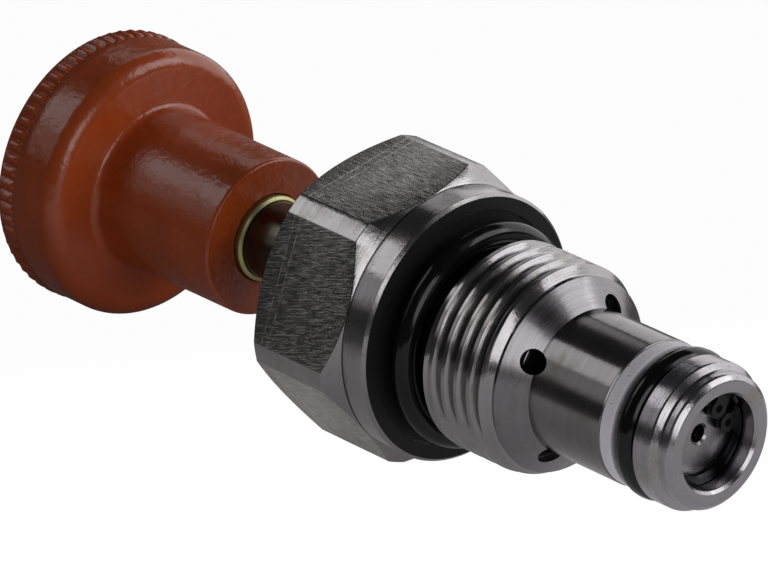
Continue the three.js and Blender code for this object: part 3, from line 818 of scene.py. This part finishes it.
def cage_sleeve():
    """The ground sleeve with its oil gallery, seal groove and nose."""
    outline = [
        (SLEEVE_REAR, SHANK_R, 0.1),
        (GALLERY_REAR, SHANK_R, 0.05),
        (GALLERY_REAR, GALLERY_R, 0.2),
        (GALLERY_FRONT, GALLERY_R, 0.2),
        (GALLERY_FRONT, SHANK_R, 0.05),
        (CONE_TIP + 0.02, SHANK_R, 0.05),
        (CONE_TIP + 0.02, SLEEVE_R, 0.02),
        (GROOVE_REAR - 0.12, SLEEVE_R, 0.08),
        (GROOVE_REAR, SLEEVE_R - 0.12, 0.05),
        (GROOVE_REAR, GROOVE_R, 0.2),
        (GROOVE_FRONT, GROOVE_R, 0.2),
        (GROOVE_FRONT, LAND_R - 0.2, 0.08),
        (GROOVE_FRONT + 0.2, LAND_R, 0.1),
        (LAND_FRONT, LAND_R, 0.3),
        (LIP_REAR - 0.25, LIP_R + 0.05, 0.25),
        (LIP_REAR, LIP_R, 0.2),
        (NOSE - 0.5, LIP_R, 0.35),
        (NOSE, NOSE_EDGE_R, 0.25),
        (NOSE, MOUTH_R + 0.3, 0.05),
        (NOSE - 0.3, MOUTH_R, 0.05),
        *ring_groove("nose_retaining_ring", MOUTH_R, MOUTH_GROOVE_R),
        (MOUTH_FLOOR, MOUTH_R, 0.15),
        (MOUTH_FLOOR, SLEEVE_BORE_R, 0.1),
        (SLEEVE_REAR, SLEEVE_BORE_R, 0.1),
    ]
    piece = finish_mesh("cage_sleeve_turned", turned(outline), WORN, "valve_body", "cage_sleeve",
                        sharp=28)
    paint(piece, DULL, SLEEVE_REAR, GROOVE_REAR)
    cross_drills = drill_ring(CROSS_HOLE_X, 0, CROSS_HOLE_R, 0, SLEEVE_BORE_R - 1, GALLERY_R + 0.5)
    combine(piece, port_drills() + cross_drills, "DIFFERENCE")
    resharpen(piece, 28)


# ---- Seals ---------------------------------------


def o_ring(name, node, material, segments=ROUND):
    """A round-section seal the size of its CAD node."""
    rear, front = span(node)
    section_r = (front - rear) / 2
    centre_x = (rear + front) / 2
    centre_r = outer_radius(node) - section_r
    steps = 28
    outline = []
    for i in range(steps):
        angle = 2 * math.pi * i / steps
        x = centre_x - section_r * math.cos(angle)
        outline.append((x, centre_r + section_r * math.sin(angle), 0))
    finish_mesh(name, turned(outline, segments), material, "valve_body", node, sharp=60)


def plain_ring(name, node, inner, material, body, segments=ROUND):
    """A flat-sided ring between its CAD node's ends."""
    rear, front = span(node)
    outer = outer_radius(node)
    outline = [(rear, outer), (front, outer), (front, inner), (rear, inner)]
    finish_mesh(name, turned(outline, segments, corner=0.08), material, body, node)


def nose_backup_ring():
    """The white ring behind the nose's O-ring, dished a little towards it."""
    front = span("nose_backup_ring")[1]
    outer = outer_radius("nose_backup_ring")
    outline = [
        (GROOVE_REAR + 0.04, outer, 0.1),
        (front, outer + 0.02, 0.16),
        (front - 0.12, GROOVE_R + 0.4, 0.1),
        (GROOVE_REAR + 0.04, GROOVE_R + 0.1, 0.1),
    ]
    finish_mesh("nose_backup_ring_turned", turned(outline), POLYMER, "valve_body",
                "nose_backup_ring")


# ---- Mouth of the nose ---------------------------


def orifice_disc():
    """The drilled disc in the mouth of the nose."""
    rear, front = span("orifice_disc")
    outer = outer_radius("orifice_disc")
    outline = [
        (rear, outer - 0.1, 0.05),
        (rear + 0.1, outer, 0.05),
        (front - 0.12, outer, 0.05),
        (front, outer - 0.12, 0.05),
        (front, DISC_HOLE_R + 0.22, 0.04),
        (front - 0.22, DISC_HOLE_R, 0.04),
        (rear, DISC_HOLE_R, 0.05),
    ]
    finish_mesh("orifice_disc_turned", turned(outline), DISC_STEEL, "valve_body", "orifice_disc")


def nose_retaining_ring():
    """Internal retaining ring: open, its two drilled lugs standing inwards beside the gap."""
    rear, front = span("nose_retaining_ring")
    outer = outer_radius("nose_retaining_ring")
    start = RING_GAP + LUG_SPREAD
    sweep = 2 * math.pi - 2 * LUG_SPREAD
    steps = 150
    bm = bmesh.new()
    rows = []
    for i in range(steps + 1):
        share = i / steps
        width = RING_WIDTH + RING_SWELL * math.sin(math.pi * share)
        angle = start + sweep * share
        row = []
        for x, r in ((rear, outer), (front, outer), (front, outer - width), (rear, outer - width)):
            row.append(vertex(bm, x, r, angle))
        rows.append(row)
    bridge_all(bm, rows)
    bm.faces.new(rows[0])
    bm.faces.new(rows[-1])
    ring = finish_mesh("nose_retaining_ring_stamped", bm, SPRING, "valve_body",
                       "nose_retaining_ring")
    angles = (RING_GAP - LUG_SPREAD, RING_GAP + LUG_SPREAD)
    arm_length = outer - 0.4 - LUG_CENTRE_R
    joined = []
    for angle in angles:
        joined.append(along_axis(LUG_R, rear, front, LUG_CENTRE_R, angle, SPRING))
        arm = bmesh.new()
        bmesh.ops.create_cube(arm, size=MM)
        arm.transform(Matrix.Diagonal((front - rear, arm_length, LUG_ARM_WIDTH, 1)))
        middle = Vector(((rear + front) / 2, LUG_CENTRE_R + arm_length / 2, 0)) * MM
        place = Matrix.Rotation(angle, 4, "X") @ Matrix.Translation(middle)
        joined.append(tool(arm, place, SPRING))
    combine(ring, joined, "UNION")
    holes = []
    for angle in angles:
        # the lug holes' walls get the black painted-shade material
        holes.append(along_axis(LUG_HOLE_R, rear - 1, front + 1, LUG_CENTRE_R, angle, PAINTED_SHADE_BORE))
    combine(ring, holes, "DIFFERENCE")
    edges = ring.modifiers.new("edges", "BEVEL")
    edges.width = 0.07 * MM
    edges.segments = 2
    edges.limit_method = "ANGLE"
    edges.angle_limit = math.radians(50)
    apply_modifiers(ring)
    resharpen(ring, 40)


# ---- Knob, bush and stem -------------------------


def knurl(x, r, angle):
    """Radius of the knob's rim: rounded teeth across the rear band, fading out at its ends."""
    middle = (KNURL_REAR + KNURL_FRONT) / 2
    half = (KNURL_FRONT - KNURL_REAR) / 2
    share = 1 - min(abs(x - middle) / half, 1)
    fade = min(share * 4, 1)
    tooth = abs(math.sin(angle * KNURL_TEETH / 2))
    return r + fade * (KNURL_PROUD - KNURL_DEPTH * (1 - tooth))


def push_knob():
    """The moulded knob: back, knurled band, rim, face, and the hub that holds the bush."""
    bore_r = outer_radius("knob_bush") + 0.02
    bush_rear = span("knob_bush")[0]
    outline = rounded([
        (KNOB_REAR, 0),
        (KNOB_REAR, KNOB_BACK_R, 1.2),
        (KNURL_REAR, RIM_R - 0.25, 0.7),
    ], closed=False, steps=6)[:-1]
    for i in range(KNURL_STEPS + 1):
        x = KNURL_REAR + (KNURL_FRONT - KNURL_REAR) * i / KNURL_STEPS
        outline.append((x, RIM_R - 0.12 + 0.1 * math.sin(math.pi * i / KNURL_STEPS)))
    outline += [(KNURL_FRONT + 0.25, RIM_R), (KNURL_FRONT + 1.2, RIM_R)]
    rim_edge = arc((KNOB_FACE - KNOB_EDGE, RIM_R - KNOB_EDGE), KNOB_EDGE, 90, 0, 16)
    fillet_centre = (KNOB_FACE + HUB_FILLET, HUB_R + 0.1 + HUB_FILLET)
    hub_fillet = arc(fillet_centre, HUB_FILLET, 180, 270, 10)
    outline += [point[:2] for point in rim_edge + hub_fillet]
    outline += rounded([
        (KNOB_FACE + 3, HUB_R + 0.08),
        (HUB_FACE, HUB_R, 0.45),
        (HUB_FACE, bore_r + 0.15, 0.15),
        (HUB_FACE - 0.3, bore_r, 0.05),
        (bush_rear - 0.3, bore_r, 0.2),
        (bush_rear - 0.3, 0),
    ], closed=False, steps=5)
    bm = bmesh.new()
    bridge_all(bm, lathe_rows(bm, outline, KNURL_TEETH * POINTS_PER_TOOTH, wobble=knurl))
    finish_mesh("push_knob_moulded", bm, PLASTIC, "push_group", "push_knob", sharp=50)


def knob_bush():
    """The plated bush pressed on the stem and held in the hub; only its end ring shows."""
    rear, front = span("knob_bush")
    outer = outer_radius("knob_bush")
    outline = [
        (rear, outer - 0.3, 0.05),
        (rear + 0.3, outer, 0.1),
        (front - 0.3, outer, 0.2),
        (front, outer - 0.3, 0.2),
        (front, STEM_R + 0.02, 0.1),
        (front - 0.28, STEM_R - 0.3, 0.05),
        (front - 0.3, STEM_TAIL_R + 0.05, 0.05),
        (rear, STEM_TAIL_R + 0.05, 0.05),
    ]
    finish_mesh("knob_bush_turned", turned(outline), ZINC_BUSH, "push_group", "knob_bush")


def stem():
    """The plated stem, grooved for its retaining ring and stepped down for the plunger."""
    rear, front = span("stem")
    bush_front = span("knob_bush")[1]
    outline = [
        (rear, 0),
        (rear, STEM_TAIL_R, 0.3),
        (bush_front - 0.25, STEM_TAIL_R, 0.1),
        (bush_front - 0.02, STEM_R - 0.15, 0.05),
        (bush_front + 0.12, STEM_R, 0.05),
        *reversed(ring_groove("stem_retaining_ring", STEM_R, STEM_GROOVE_R)),
        (STEM_SHOULDER, STEM_R, 0.3),
        (STEM_SHOULDER, STEM_TIP_R, 0.2),
        (front, STEM_TIP_R, 0.3),
        (front, 0),
    ]
    finish_mesh("stem_turned", turned(outline, on_axis=True), ZINC_STEM_IN_SHADE, "push_group", "stem")


# ---- Gland, springs, plunger and check ----------


def gland_bushing():
    """The stem's guide, with a groove inside for the stem's seal."""
    rear, front = span("gland_bushing")
    outer = outer_radius("gland_bushing")
    inner = STEM_R + 0.1
    groove_r = 6.3
    groove_width = 2.9
    wall = (front - rear - groove_width) / 2
    outline = [
        (rear, outer, 0.3),
        (front, outer, 0.3),
        (front, inner, 0.2),
        (front - wall, inner),
        (front - wall, groove_r),
        (rear + wall, groove_r),
        (rear + wall, inner),
        (rear, inner, 0.2),
    ]
    finish_mesh("gland_bushing_turned", turned(outline, SMALL_ROUND), BRONZE, "valve_body",
                "gland_bushing")


def wiper_ring():
    """Scraper with a thin lip that leans back along the stem."""
    rear, front = span("wiper_ring")
    outer = outer_radius("wiper_ring")
    outline = [
        (rear, outer, 0.15),
        (front, outer, 0.15),
        (front, STEM_R + 0.25, 0.1),
        (front - 0.35, STEM_R + 0.4, 0.1),
        (rear, STEM_R + 0.06, 0.05),
        (rear - 0.1, STEM_R + 0.3, 0.08),
        (rear + 0.15, STEM_R + 1, 0.1),
    ]
    finish_mesh("wiper_ring_moulded", turned(outline, SMALL_ROUND), RUBBER, "valve_body",
                "wiper_ring")


def plunger():
    """The ground plunger on the stem's tip, grooved for its ring."""
    rear, front = span("plunger")
    outer = outer_radius("plunger")
    socket_front = 4.3
    socket_r = STEM_TIP_R + 0.1
    outline = [
        (socket_front, 0),
        (socket_front, socket_r, 0.1),
        (rear, socket_r, 0.2),
        (rear, outer, 0.25),
        *reversed(ring_groove("plunger_ring", outer, PLUNGER_GROOVE_R, corner=0.1)),
        (front, outer, 0.35),
        (front, 0),
    ]
    finish_mesh("plunger_ground", turned(outline, SMALL_ROUND, on_axis=True), GROUND, "push_group",
                "plunger")


def check_seat():
    """The seat ring, its front edge coned for the ball."""
    rear, front = span("check_seat")
    outer = outer_radius("check_seat")
    bore_r = 1.3
    outline = [
        (rear, outer, 0.2),
        (front, outer, 0.2),
        (front, bore_r + 0.45, 0.1),
        (front - 0.4, bore_r, 0.05),
        (rear + 0.3, bore_r, 0.05),
        (rear, bore_r + 0.3, 0.1),
    ]
    finish_mesh("check_seat_turned", turned(outline, SMALL_ROUND), GROUND, "valve_body",
                "check_seat")


def check_ball():
    """The ball of the check."""
    rear, front = span("check_ball")
    radius = (front - rear) / 2
    outline = arc(((rear + front) / 2, 0), radius, 180, 0, 40)
    outline[0] = (rear, 0)
    outline[-1] = (front, 0)
    bm = turned(outline, SMALL_ROUND, on_axis=True)
    finish_mesh("check_ball_lapped", bm, GROUND, "check_ball_body", "check_ball")


def spring(name, node, wire_r, turns):
    """A coil spring between its CAD node's ends, with a mesh of its own."""
    rear, front = span(node)
    mean_r = outer_radius(node) - wire_r
    wire = helical_wire(rear, front, mean_r, wire_r, turns)
    piece = finish_mesh(name, wire, SPRING, "valve_body", node, sharp=60)
    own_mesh(piece)


hex_body()
cage_sleeve()
o_ring("port_o_ring_moulded", "port_o_ring", RUBBER)
o_ring("nose_o_ring_moulded", "nose_o_ring", RUBBER)
nose_backup_ring()
orifice_disc()
nose_retaining_ring()
push_knob()
knob_bush()
stem()
gland_bushing()
o_ring("stem_o_ring_moulded", "stem_o_ring", RUBBER, SMALL_ROUND)
plain_ring("stem_backup_ring_cut", "stem_backup_ring", STEM_R + 0.1, POLYMER, "valve_body",
           segments=SMALL_ROUND)
wiper_ring()
plain_ring("gland_retaining_ring_stamped", "gland_retaining_ring", GLAND_BORE_R - 1.3, SPRING,
           "valve_body")
plain_ring("stem_retaining_ring_stamped", "stem_retaining_ring", STEM_GROOVE_R + 0.1, SPRING,
           "push_group", segments=SMALL_ROUND)
plain_ring("spring_seat_turned", "spring_seat", STEM_R + 0.15, MACHINED, "spring_seat_slider",
           segments=SMALL_ROUND)
plain_ring("plunger_ring_cut", "plunger_ring", PLUNGER_GROOVE_R + 0.15, POLYMER, "push_group",
           segments=SMALL_ROUND)
plunger()
check_seat()
check_ball()
spring("return_spring_wound", "return_spring", 0.45, 5)
spring("check_spring_wound", "check_spring", 0.2, 4)


# ---- Camera, floor and light ---------------------


CAMERA_PLACE = Vector((451.5, -426.9, 292.7)) * MM
CAMERA_AIM = Vector((-12.9, 0.4, 0.4)) * MM
LIGHT_DISTANCE = 1.6
ROOM_GREYS = ((0.4, 0.2), (0.48, 0.045), (0.62, 0.05), (0.72, 0.035))  # share of height, grey
PAPER_HALF_WIDTH = 6.0
TABLE_HALF_WIDTH = 0.2
# direction across which the table's painted shadow beside the knob fades
TABLE_SLANT = (0.8, -0.6, 0)
PAINTED_SHADOW_BESIDE_KNOB = (-34 * MM, -10 * MM)  # edge of the table's painted shadow, measured along the slant
PAINTED_SHADOW_BEHIND_HEX = (-60 * MM, -25 * MM)  # edge of the table's painted shadow, measured along the axis


def camera():
    """The view along the valve from its nose, from above and to its right."""
    data = bpy.data.cameras.new("camera")
    data.lens = 319.75
    data.sensor_width = 36.0
    data.clip_start = 0.01
    data.clip_end = 50.0
    made = bpy.data.objects.new("camera", data)
    made.location = CAMERA_PLACE
    made.rotation_euler = (CAMERA_AIM - CAMERA_PLACE).to_track_quat("-Z", "Y").to_euler()
    bpy.context.scene.collection.objects.link(made)
    bpy.context.scene.camera = made


def toward(azimuth, elevation):
    """Unit vector from the valve towards an azimuth and elevation in degrees."""
    turn = math.radians(azimuth)
    rise = math.radians(elevation)
    level = math.cos(rise)
    return Vector((level * math.cos(turn), level * math.sin(turn), math.sin(rise)))


def softbox(name, azimuth, elevation, width, height, radiance, distance=LIGHT_DISTANCE,
            shape="DISK"):
    """A soft light that faces the valve; its place and size, as seen from there, are in degrees."""
    data = bpy.data.lights.new(name, "AREA")
    data.shape = shape
    data.size = 2 * distance * math.tan(math.radians(width / 2))
    data.size_y = 2 * distance * math.tan(math.radians(height / 2))
    area = data.size * data.size_y if shape == "RECTANGLE" else math.pi * data.size ** 2 / 4
    data.energy = radiance * math.pi * area
    made = bpy.data.objects.new(name, data)
    made.location = toward(azimuth, elevation) * distance
    made.rotation_euler = toward(azimuth, elevation).to_track_quat("Z", "Y").to_euler()
    made.visible_camera = False
    bpy.context.scene.collection.objects.link(made)


def studio():
    """Three round softboxes, and two pale cards close behind the valve, as lights of their own."""
    # azimuth, elevation, width, height, radiance
    softbox("softbox_left", -151, 39, 24, 24, 1.25)
    softbox("softbox_front", -22, 20, 35, 35, 2.0, distance=0.35)
    softbox("softbox_right", 47, 30, 34, 34, 2.1)
    softbox("backdrop", 96, 17, 76, 42, 1.0, distance=0.25, shape="RECTANGLE")
    softbox("backdrop_corner", 147, 36, 19, 19, 0.55, distance=0.25)


def glow(tree, direction, azimuth, elevation, inner, outer, radiance):
    """Extra light from one direction, full within the inner angle and gone beyond the outer one."""
    inputs = {0: direction, 1: toward(azimuth, elevation)}
    near = add_node(tree, "ShaderNodeVectorMath", inputs, operation="DOT_PRODUCT")
    inputs = {
        "Value": near.outputs["Value"],
        "From Min": math.cos(math.radians(outer)),
        "From Max": math.cos(math.radians(inner)),
        "To Max": radiance,
    }
    fade = add_node(tree, "ShaderNodeMapRange", inputs, interpolation_type="SMOOTHSTEP")
    return fade.outputs["Result"]


GLOWS = [
    # azimuth, elevation, inner angle, outer angle, radiance
    (72, 14, 8, 28, 0.25),  # wall between the backdrop and the right softbox
    (-137, 22, 3, 15, 0.45),  # spill below the left softbox
    (34, 47, 4, 16, 0.25),  # spill above the right softbox
]


def world():
    """Room light: white to the camera; to everything else a dark room with a few glows."""
    made = bpy.data.worlds.new("studio")
    bpy.context.scene.world = made
    made.use_nodes = True
    tree = made.node_tree
    direction = add_node(tree, "ShaderNodeTexCoord").outputs["Generated"]
    parts = add_node(tree, "ShaderNodeSeparateXYZ", {0: direction})
    height = add_node(tree, "ShaderNodeMapRange", {"Value": parts.outputs[2], "From Min": -1.0})
    ramp = add_node(tree, "ShaderNodeValToRGB", {"Fac": height.outputs["Result"]})
    elements = ramp.color_ramp.elements
    elements[0].color = (0.2, 0.2, 0.2, 1)
    elements[1].color = (0.03, 0.03, 0.032, 1)
    for position, grey in ROOM_GREYS:
        element = elements.new(position)
        element.color = (grey, grey, grey, 1)
    total = ramp.outputs["Color"]
    for settings in GLOWS:
        inputs = {"Factor": 1.0, 6: total, 7: glow(tree, direction, *settings)}
        added = add_node(tree, "ShaderNodeMix", inputs, data_type="RGBA", blend_type="ADD")
        total = added.outputs[2]
    camera_ray = add_node(tree, "ShaderNodeLightPath").outputs["Is Camera Ray"]
    inputs = {"Factor": camera_ray, 6: total, 7: (1.0, 1.0, 1.0, 1)}
    seen = add_node(tree, "ShaderNodeMix", inputs, data_type="RGBA")
    tree.links.new(seen.outputs[2], tree.nodes["Background"].inputs["Color"])


def sheet(name, half_width, grey, glow_strength):
    """A flat sheet under the valve that also gives off a little light of its own."""
    low = CAD_BOUNDS[0][2]
    bm = bmesh.new()
    bmesh.ops.create_grid(bm, x_segments=1, y_segments=1, size=half_width)
    mesh = bpy.data.meshes.new(name)
    bm.to_mesh(mesh)
    bm.free()
    made = bpy.data.objects.new(name, mesh)
    made.location = (0, 0, low - 0.2 * MM)
    bpy.context.scene.collection.objects.link(made)
    shader = Shader(name, (grey, grey, grey), 1.0, specular=0.0)
    shader.set("Emission Color", (1, 1, 1, 1))
    shader.set("Emission Strength", glow_strength)
    mesh.materials.append(shader.material)
    return made, shader


def floor():
    """White paper that only the camera sees, and a table that only lights and mirrors in the valve.

    The table has a painted shadow beside the knob and behind the hexagon: its colour and glow are
    darker there.
    """
    paper = sheet("floor", PAPER_HALF_WIDTH, 0.15, 0.97)[0]
    paper.visible_glossy = False
    paper.visible_diffuse = False
    paper.visible_shadow = False
    table, shader = sheet("table", TABLE_HALF_WIDTH, 0.85, 0.14)
    table.visible_camera = False
    inputs = {0: shader.position(), 1: TABLE_SLANT}
    slant = shader.node("ShaderNodeVectorMath", inputs, operation="DOT_PRODUCT").outputs["Value"]
    along = shader.node("ShaderNodeSeparateXYZ", {0: shader.position()}).outputs[0]
    beside_knob = shader.remap(slant, *PAINTED_SHADOW_BESIDE_KNOB)
    behind_hex = shader.remap(along, *PAINTED_SHADOW_BEHIND_HEX)
    clear_of_painted_shadow = shader.math("MULTIPLY", beside_knob, behind_hex)
    # painted shadow: dark grey colour and faint glow beside the knob and behind the hexagon, pale
    # elsewhere
    shader.link(shader.mix(clear_of_painted_shadow, (0.26, 0.26, 0.26), (0.88, 0.88, 0.88)), "Base Color")
    shader.link(shader.mix(clear_of_painted_shadow, (0.1, 0.1, 0.1), (1, 1, 1)), "Emission Color")


camera()
studio()
world()
floor()
bpy.context.scene.view_settings.view_transform = "Standard"
